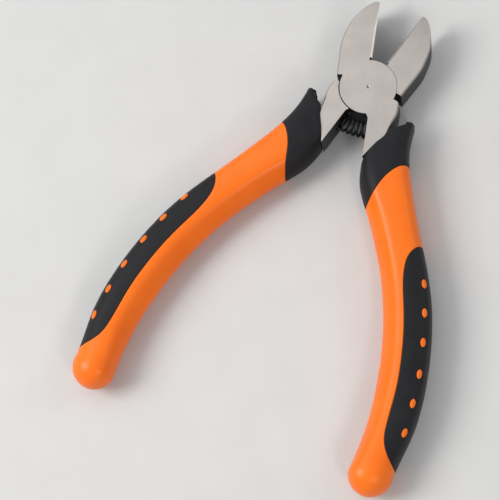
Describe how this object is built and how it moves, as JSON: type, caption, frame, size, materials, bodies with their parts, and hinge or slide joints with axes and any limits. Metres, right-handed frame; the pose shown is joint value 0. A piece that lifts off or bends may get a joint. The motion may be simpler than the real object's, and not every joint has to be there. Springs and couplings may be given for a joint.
{
  "type": "diagonal cutting pliers",
  "caption": "Diagonal cutting pliers: two lap-jointed steel levers with bevelled side-cutting jaws, a coil return spring and curved two-colour moulded grips with thumb guards and soft pads.",
  "frame": {"origin": "on the pivot axis, in the plane of the joint's back face", "axes": "+Y from the pivot towards the jaws along the bisector of the open tool, +Z along the pivot axis out of the front face, so +X is the side of the front lever's handle"},
  "size_m": [0.1104, 0.155, 0.0146],
  "materials": {
    "lever_steel": "satin, ground flat",
    "rivet_steel": "satin, ground flush",
    "spring_black": "black oxide, semi-gloss",
    "grip_orange": "satin, fine texture",
    "guard_black": "matte, fine texture",
    "pad_black": "matte, fine texture"
  },
  "bodies": {
    "front_half": {"front_lever": "lever_steel", "pivot_rivet": "rivet_steel", "return_spring": "spring_black", "right_grip_core": "grip_orange", "right_thumb_guard": "guard_black", "right_finger_pad": "pad_black"},
    "rear_half": {"rear_lever": "lever_steel", "left_grip_core": "grip_orange", "left_thumb_guard": "guard_black", "left_finger_pad": "pad_black"}
  },
  "joints": [
    {"name": "jaw_hinge", "type": "hinge", "parent": "front_half", "child": "rear_half", "pos_m": [0, 0, 0.005], "axis": [0, 0, 1], "range_deg": [-12, 28.5], "stiffness_Nm_per_rad": 0.35, "deforming": ["return_spring"]}
  ]
}
